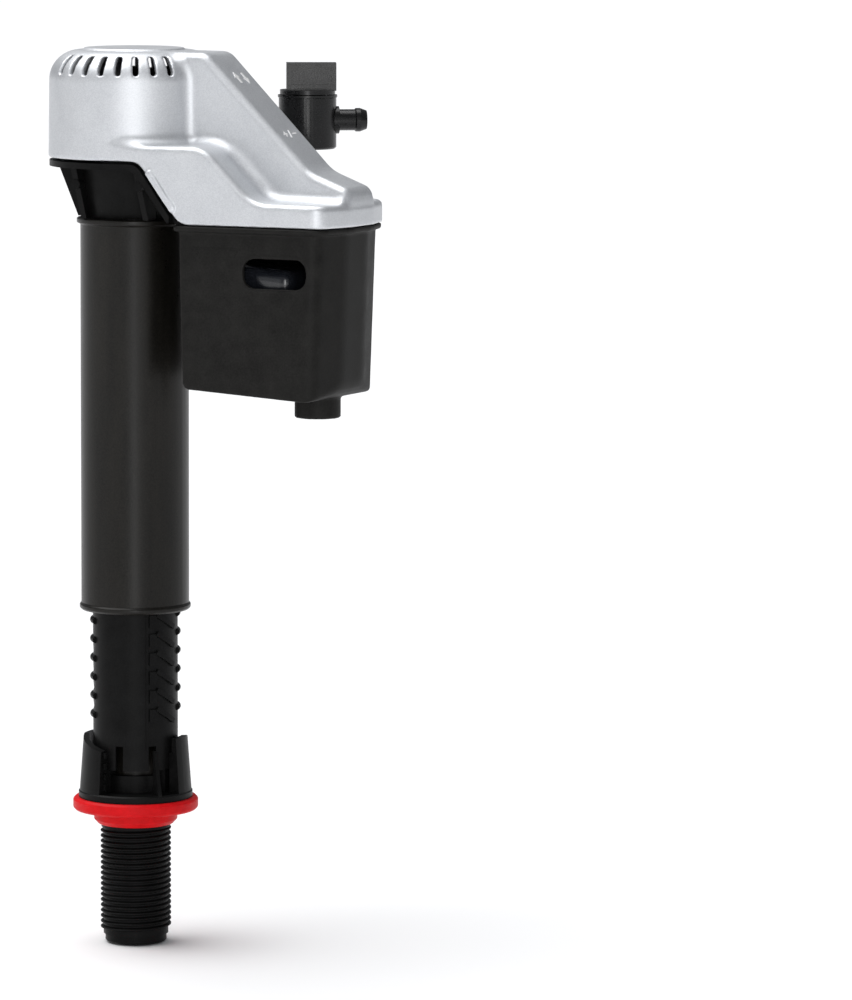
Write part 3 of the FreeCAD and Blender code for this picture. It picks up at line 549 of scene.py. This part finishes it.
def float_field(x, y, z):
    """The float, drawn level about the lever's pivot and turned to its rest tilt."""
    pivot = [value / MM for value in named(frame["joints"], "float_lift")["pos_m"]]
    tilt = math.radians(FLOAT_TILT)
    dx, dz = x - pivot[X], z - pivot[Z]
    u = dx * math.cos(tilt) - dz * math.sin(tilt) + pivot[X]
    w = dx * math.sin(tilt) + dz * math.cos(tilt) + pivot[Z]
    gaps = [np.maximum(np.abs(value - middle) - half + FLOAT_ROUND, 0)
            for value, middle, half in zip((u, y, w), FLOAT_CENTRE, FLOAT_HALF)]
    body = np.sqrt(gaps[0] ** 2 + gaps[1] ** 2 + gaps[2] ** 2) - FLOAT_ROUND
    pocket = both(both(between(*POCKET_X, u), np.abs(y) - POCKET_HALF), POCKET_FLOOR - w)
    return both(body, -pocket, 0.3)


# ---------------------------------------------------------------- shank

def helix_ridge():
    """The thread as one right-handed ridge that fades out at both ends: its points, faces and end faces."""
    steps = int(THREAD_TURNS * THREAD_STEPS)
    base = THREAD_ROOT_R - 0.3
    half_root, half_crest = THREAD_PITCH * 0.44, 0.24
    points = []
    for step in range(steps + 1):
        turn = step / steps * THREAD_TURNS
        angle = 2 * math.pi * turn
        fade = min(1.0, THREAD_FADE * turn, THREAD_FADE * (THREAD_TURNS - turn))
        crest = base + 0.02 + (THREAD_CREST_R - base - 0.02) * fade
        height = THREAD_LOW + THREAD_PITCH * (turn + 0.5)
        section = ((base, -half_root), (crest - 0.08, -half_crest), (crest, -half_crest + 0.1),
                   (crest, half_crest - 0.1), (crest - 0.08, half_crest), (base, half_root))
        for radius, lift in section:
            points.append((radius * math.cos(angle) * MM, radius * math.sin(angle) * MM,
                           (height + lift) * MM))
    width = len(section)
    faces = []
    for step in range(steps):
        for side in range(width):
            a, b = step * width + side, step * width + (side + 1) % width
            faces.append((a, a + width, b + width, b))
    ends = [tuple(reversed(range(width))), tuple(steps * width + i for i in range(width))]
    return points, faces + ends


def make_shank():
    """The shank and base with its thread rings smoothed back to the root and a helical ridge wound on."""
    shank = copy_of("shank_base", "shank_with_thread")
    mesh = shank.data
    count = len(mesh.vertices)
    co = np.empty(count * 3, np.float32)
    mesh.vertices.foreach_get("co", co)
    co = co.reshape(-1, 3)
    radius = np.hypot(co[:, 0], co[:, 1]) / MM
    height = co[:, 2] / MM
    top = THREAD_LOW + THREAD_TURNS * THREAD_PITCH + 0.4
    crest = (radius > THREAD_ROOT_R + 0.02) & (height > THREAD_LOW - 0.6) & (height < top)
    co[crest, :2] *= (THREAD_ROOT_R / radius[crest])[:, None]
    mesh.vertices.foreach_set("co", co.ravel())
    mesh.update()
    points, faces = helix_ridge()
    ridge = bpy.data.meshes.new("ridge")
    ridge.from_pydata(points, [], faces)
    ridge.update()
    other = bpy.data.objects.new("ridge", ridge)
    bpy.context.scene.collection.objects.link(other)
    with bpy.context.temp_override(active_object=shank, selected_editable_objects=[shank, other]):
        bpy.ops.object.join()
    return shank


# ---------------------------------------------------------------- materials

def nodes_of(name):
    """A new node material: its tree, its shader and an object-space coordinate in millimetres."""
    material = bpy.data.materials.new(name)
    material.use_nodes = True
    tree = material.node_tree
    shader = tree.nodes["Principled BSDF"]
    place = tree.nodes.new("ShaderNodeTexCoord")
    scale = tree.nodes.new("ShaderNodeVectorMath")
    scale.operation = "SCALE"
    scale.inputs["Scale"].default_value = 1 / MM
    tree.links.new(place.outputs["Object"], scale.inputs[0])
    return material, tree, shader, scale.outputs[0]


def noise(tree, where, size, detail=4.0, stretch=None):
    """Noise with features of about that size in millimetres; stretch lengthens it along an axis."""
    if stretch:
        squeeze = tree.nodes.new("ShaderNodeVectorMath")
        squeeze.operation = "MULTIPLY"
        squeeze.inputs[1].default_value = stretch
        tree.links.new(where, squeeze.inputs[0])
        where = squeeze.outputs[0]
    texture = tree.nodes.new("ShaderNodeTexNoise")
    texture.inputs["Scale"].default_value = 1.0 / size
    texture.inputs["Detail"].default_value = detail
    tree.links.new(where, texture.inputs["Vector"])
    return texture.outputs["Fac"]


def spread(tree, value, low, high, start=0.3, end=0.7):
    """A noise value remapped to run from low to high."""
    remap = tree.nodes.new("ShaderNodeMapRange")
    remap.inputs["From Min"].default_value = start
    remap.inputs["From Max"].default_value = end
    remap.inputs["To Min"].default_value = low
    remap.inputs["To Max"].default_value = high
    tree.links.new(value, remap.inputs["Value"])
    return remap.outputs["Result"]


def tones(tree, value, dark, light, start=0.3, end=0.7):
    """A noise value turned into a colour between two tones."""
    ramp = tree.nodes.new("ShaderNodeValToRGB")
    ramp.color_ramp.elements[0].position = start
    ramp.color_ramp.elements[1].position = end
    ramp.color_ramp.elements[0].color = (*dark, 1)
    ramp.color_ramp.elements[1].color = (*light, 1)
    tree.links.new(value, ramp.inputs["Fac"])
    return ramp.outputs["Color"]


def mixed(tree, first, second, share):
    """Two noise values mixed."""
    mix = tree.nodes.new("ShaderNodeMix")
    mix.inputs["Factor"].default_value = share
    tree.links.new(first, mix.inputs["A"])
    tree.links.new(second, mix.inputs["B"])
    return mix.outputs["Result"]


def bumped(tree, shader, value, strength, distance):
    """Lets a noise value raise the surface by up to that distance in metres."""
    bump = tree.nodes.new("ShaderNodeBump")
    bump.inputs["Strength"].default_value = strength
    bump.inputs["Distance"].default_value = distance
    tree.links.new(value, bump.inputs["Height"])
    tree.links.new(bump.outputs["Normal"], shader.inputs["Normal"])


def satin_plastic(name, dark, light, rough, grain=0.35, relief=0.00003, streak=None, specular=0.5):
    """Moulded plastic or rubber: a fine spark-eroded grain over faint cloudy flow marks."""
    material, tree, shader, where = nodes_of(name)
    fine = noise(tree, where, grain, 3.0)
    cloud = noise(tree, where, 6.0, 5.0, streak)
    blend = mixed(tree, fine, cloud, 0.55)
    tree.links.new(tones(tree, blend, dark, light), shader.inputs["Base Color"])
    tree.links.new(spread(tree, blend, rough[0], rough[1]), shader.inputs["Roughness"])
    shader.inputs["Specular IOR Level"].default_value = specular
    bumped(tree, shader, mixed(tree, fine, cloud, 0.25), 0.5, relief)
    return material


def silver_paint(name):
    """Satin silver: fine metallic flake under a soft clear coat."""
    material, tree, shader, where = nodes_of(name)
    flake = tree.nodes.new("ShaderNodeTexVoronoi")
    flake.inputs["Scale"].default_value = 1.0 / 0.3
    tree.links.new(where, flake.inputs["Vector"])
    split = tree.nodes.new("ShaderNodeSeparateColor")
    tree.links.new(flake.outputs["Color"], split.inputs["Color"])
    sparkle = split.outputs["Red"]
    cloud = noise(tree, where, 9.0, 4.0)
    blend = mixed(tree, sparkle, cloud, 0.5)
    colour = tones(tree, blend, (0.56, 0.575, 0.60), (0.68, 0.695, 0.715), 0.2, 0.8)
    tree.links.new(colour, shader.inputs["Base Color"])
    tree.links.new(spread(tree, blend, 0.46, 0.56, 0.2, 0.8), shader.inputs["Roughness"])
    shader.inputs["Metallic"].default_value = 0.85
    shader.inputs["Coat Weight"].default_value = 0.12
    shader.inputs["Coat Roughness"].default_value = 0.25
    bumped(tree, shader, blend, 0.25, 0.000015)
    return material


def red_rubber(name):
    """Dull red rubber with cloudy tones and a faint grain."""
    material, tree, shader, where = nodes_of(name)
    cloud = noise(tree, where, 3.5, 6.0)
    fine = noise(tree, where, 0.3, 3.0)
    blend = mixed(tree, cloud, fine, 0.4)
    colour = tones(tree, blend, (0.50, 0.002, 0.004), (0.68, 0.006, 0.010))
    tree.links.new(colour, shader.inputs["Base Color"])
    tree.links.new(spread(tree, blend, 0.38, 0.55), shader.inputs["Roughness"])
    shader.inputs["Specular IOR Level"].default_value = 0.12
    shader.inputs["Subsurface Weight"].default_value = 0.05
    shader.inputs["Subsurface Radius"].default_value = (0.0012, 0.0004, 0.0003)
    bumped(tree, shader, blend, 0.4, 0.00005)
    return material


def drawn_steel(name):
    """Steel with fine lines along the wire."""
    material, tree, shader, where = nodes_of(name)
    lines = noise(tree, where, 0.25, 3.0, (1.0, 0.08, 1.0))
    tree.links.new(tones(tree, lines, (0.48, 0.48, 0.5), (0.72, 0.72, 0.73)), shader.inputs["Base Color"])
    tree.links.new(spread(tree, lines, 0.22, 0.4), shader.inputs["Roughness"])
    shader.inputs["Metallic"].default_value = 1.0
    bumped(tree, shader, lines, 0.3, 0.00001)
    return material


LOOKS = {
    "body_black": satin_plastic(
        "body_black", (0.002, 0.002, 0.002), (0.008, 0.008, 0.008), (0.34, 0.48),
        grain=0.5, relief=0.00005, specular=0.08),
    "sleeve_black": satin_plastic(
        "sleeve_black", (0.002, 0.0018, 0.0014), (0.014, 0.0126, 0.0104), (0.26, 0.40),
        grain=0.55, relief=0.00006, streak=(1.0, 1.0, 0.15), specular=0.20),
    "regulator_black": satin_plastic(
        "regulator_black", (0.003, 0.003, 0.003), (0.010, 0.010, 0.0105), (0.22, 0.34),
        grain=0.5, relief=0.00004, specular=0.30),
    "cup_black": satin_plastic(
        "cup_black", (0.004, 0.0038, 0.0034), (0.015, 0.0145, 0.0135), (0.46, 0.62),
        grain=0.6, relief=0.00009, specular=0.13),
    "float_gloss": satin_plastic(
        "float_gloss", (0.008, 0.009, 0.012), (0.016, 0.018, 0.023), (0.16, 0.24),
        grain=1.5, relief=0.00001, specular=0.6),
    "seal_black": satin_plastic(
        "seal_black", (0.010, 0.010, 0.010), (0.028, 0.028, 0.028), (0.55, 0.75),
        grain=0.3, relief=0.00004),
    "acetal_white": satin_plastic(
        "acetal_white", (0.70, 0.69, 0.65), (0.84, 0.83, 0.79), (0.30, 0.42),
        grain=0.5, relief=0.00002),
    "mark_pale": satin_plastic(
        "mark_pale", (0.62, 0.62, 0.62), (0.80, 0.80, 0.80), (0.35, 0.5),
        grain=0.3, relief=0.00001),
    "silver": silver_paint("silver"),
    "red": red_rubber("red"),
    "steel": drawn_steel("steel"),
}

# The CAD nodes that show as they are, by look
NODE_LOOKS = {
    "body_black": ("lower_sleeve", "valve_body", "bonnet", "bonnet_ring", "float_lever"),
    "sleeve_black": ("lower_riser", "upper_riser"),
    "regulator_black": ("refill_housing", "refill_knob"),
    "seal_black": ("riser_orings", "diaphragm", "pilot_seal", "drain_disc", "refill_port_oring",
                   "knob_oring"),
    "acetal_white": ("debris_screen", "diaphragm_core", "seal_plunger"),
    "steel": ("lever_pin",),
}
for look, nodes in NODE_LOOKS.items():
    for node in nodes:
        mesh = frame["nodes"][node].data
        mesh.materials.clear()
        mesh.materials.append(LOOKS[look])

# ---------------------------------------------------------------- pieces

finish_piece(make_cover(), "cover", LOOKS["silver"], "silver_plastic", "cover")
marks = slope_mark("slope_marks", [
    plus_shape(-3.0, 0.0, 1.1, 0.28), bar(0.0, 0.0, 0.22, 1.7, -25), bar(3.0, 0.0, 1.1, 0.28)], 17.0)
finish_piece(marks, "cover", LOOKS["mark_pale"], "silver_plastic")
arrows = slope_mark("slope_arrows", [
    arrow_shape(-2.4, 0.3, 1.5, 2.4), bar(-2.4, -0.9, 0.5, 1.2),
    arrow_shape(2.4, -0.3, 1.5, -2.4), bar(2.4, 0.9, 0.5, 1.2)], 42.5)
finish_piece(arrows, "cover", LOOKS["mark_pale"], "silver_plastic")

cup = surface("float_cup_shell", (27.6, -27.6, 134.6), (86.6, 27.6, 199.8), cup_field)
finish_piece(cup, "head", LOOKS["cup_black"], "black_plastic", "float_cup")
finish_piece(level_mark(), "head", LOOKS["cup_black"], "black_plastic")

floater = surface("float_body", (33.0, -18.8, 150.5), (73.0, 18.8, 188.5), float_field)
finish_piece(floater, "float_arm", LOOKS["float_gloss"], "float_plastic", "float_block")

sleeve = lathe("outer_sleeve_tube", [
    (SLEEVE_BORE_R, SLEEVE_LOW, 0.2), (SLEEVE_R - 0.14, SLEEVE_LOW, 0.3),
    (SLEEVE_BEAD_R, SLEEVE_LOW + 0.7, 0.5), (SLEEVE_BEAD_R, SLEEVE_LOW + 1.7, 0.6),
    (SLEEVE_R, SLEEVE_LOW + 2.4, 0.5), (SLEEVE_R, SLEEVE_TOP - 2.2, 0.4),
    (SLEEVE_RIM_R, SLEEVE_TOP - 1.6, 0.3), (SLEEVE_RIM_R, SLEEVE_TOP - 0.3, 0.3),
    (SLEEVE_RIM_R - 0.4, SLEEVE_TOP, 0.2), (SLEEVE_BORE_R, SLEEVE_TOP, 0.2)], seam=0.05)
finish_piece(sleeve, "sleeve", LOOKS["sleeve_black"], "black_plastic", "outer_sleeve")

washer = lathe("rubber_washer", [
    (WASHER_BORE_R, WASHER_LOW, 0.2), (WASHER_BORE_R + 1, WASHER_LOW, 0.3), (HOLE_R, -HOLE_DEPTH, 0.6),
    (HOLE_R, 0.0, 0.4), (WASHER_R - 0.8, 0.0, 0.5), (WASHER_R, 0.8, 0.8),
    (WASHER_R, WASHER_TOP - 0.8, 0.8), (WASHER_R - 0.8, WASHER_TOP, 0.5),
    (WASHER_BORE_R, WASHER_TOP, 0.2)])
finish_piece(washer, "base", LOOKS["red"], "red_rubber", "shank_washer")

finish_piece(make_shank(), "base", LOOKS["body_black"], "black_plastic", "shank_base")


# ---------------------------------------------------------------- stage, light and camera

FLOOR_RADIUS = 40.0
FLOOR_GAP = 0.0005
WORLD_COLOUR = (0.94, 0.96, 1.0, 1)
WORLD_STRENGTH = 0.25
SUN_POWER = 3.3
SUN_ANGLE = 60
SUN_TRAVEL = (0.32, 0.08, -1.0)
WHITE = (1.0, 1.0, 1.0)
WARM = (1.0, 0.90, 0.80)


def area_light(name, place, target, size, power, colour):
    """A soft oblong light at a place, turned towards a target."""
    data = bpy.data.lights.new(name, "AREA")
    data.shape = "RECTANGLE"
    data.size, data.size_y = size
    data.energy = power
    data.color = colour
    made = bpy.data.objects.new(name, data)
    made.location = place
    made.rotation_euler = (Vector(target) - Vector(place)).to_track_quat("-Z", "Y").to_euler()
    bpy.context.scene.collection.objects.link(made)


def make_floor():
    """A wide pale floor just under the end of the shank."""
    bpy.ops.mesh.primitive_circle_add(vertices=96, radius=FLOOR_RADIUS, fill_type="NGON",
                                      location=(0, 0, cad_box[0].z - FLOOR_GAP))
    floor = bpy.context.object
    floor.name = "floor"
    material, tree, shader, where = nodes_of("pale_floor")
    tree.links.new(tones(tree, noise(tree, where, 300.0), (0.875, 0.875, 0.88), (0.895, 0.895, 0.90)),
                   shader.inputs["Base Color"])
    shader.inputs["Roughness"].default_value = 0.9
    floor.data.materials.append(material)


CAMERA_TURN = 29.716
CAMERA_DISTANCE = 1.9989
CAMERA_HEIGHT = 0.34206
CAMERA_PAN = -2.788
CAMERA_PITCH = 6.021
CAMERA_ROLL = 0.17
CAMERA_LENS = 216.36
CAMERA_SENSOR = 36.0
CAMERA_SHIFT = -0.08


def make_camera():
    """Seen from the front, turned towards the float cup and a little above, through a long lens."""
    turn = math.radians(CAMERA_TURN)
    aim = math.radians(CAMERA_TURN + CAMERA_PAN)
    pitch = math.radians(CAMERA_PITCH)
    data = bpy.data.cameras.new("camera")
    camera = bpy.data.objects.new("camera", data)
    camera.location = (CAMERA_DISTANCE * math.sin(turn), -CAMERA_DISTANCE * math.cos(turn), CAMERA_HEIGHT)
    ahead = Vector((-math.sin(aim) * math.cos(pitch), math.cos(aim) * math.cos(pitch), -math.sin(pitch)))
    look = ahead.to_track_quat("-Z", "Y")
    camera.rotation_mode = "QUATERNION"
    roll = Matrix.Rotation(math.radians(CAMERA_ROLL), 3, "Z").to_quaternion()
    camera.rotation_quaternion = look @ roll
    data.lens = CAMERA_LENS
    data.sensor_width = CAMERA_SENSOR
    data.shift_y = CAMERA_SHIFT
    data.clip_start, data.clip_end = 0.05, 100.0
    bpy.context.scene.collection.objects.link(camera)
    bpy.context.scene.camera = camera


def make_lights():
    """A narrow light beside the camera, a wide one and a faint warm one to the left, and a soft sun."""
    world = bpy.data.worlds.new("studio")
    world.use_nodes = True
    background = world.node_tree.nodes["Background"]
    background.inputs["Color"].default_value = WORLD_COLOUR
    background.inputs["Strength"].default_value = WORLD_STRENGTH
    bpy.context.scene.world = world
    sun = bpy.data.lights.new("soft_sun", "SUN")
    sun.energy = SUN_POWER
    sun.angle = math.radians(SUN_ANGLE)
    lamp = bpy.data.objects.new("soft_sun", sun)
    lamp.rotation_euler = Vector(SUN_TRAVEL).to_track_quat("-Z", "Y").to_euler()
    bpy.context.scene.collection.objects.link(lamp)
    for name, place, target, size, power, colour in (
            ("key", (0.95, -1.75, 0.50), (0.02, 0, 0.17), (0.4, 1.3), 11.5, WHITE),
            ("wide_key", (-1.1, -1.6, 0.50), (0.02, 0, 0.17), (1.6, 1.3), 2.4, WHITE),
            ("left_fill", (-1.9, -1.0, 0.45), (0, 0, 0.15), (0.6, 1.6), 0.5, WARM)):
        area_light(name, place, target, size, power, colour)


make_floor()
make_lights()
make_camera()

# Plain tones, so that the pale floor stays pale
bpy.context.scene.view_settings.view_transform = "Standard"
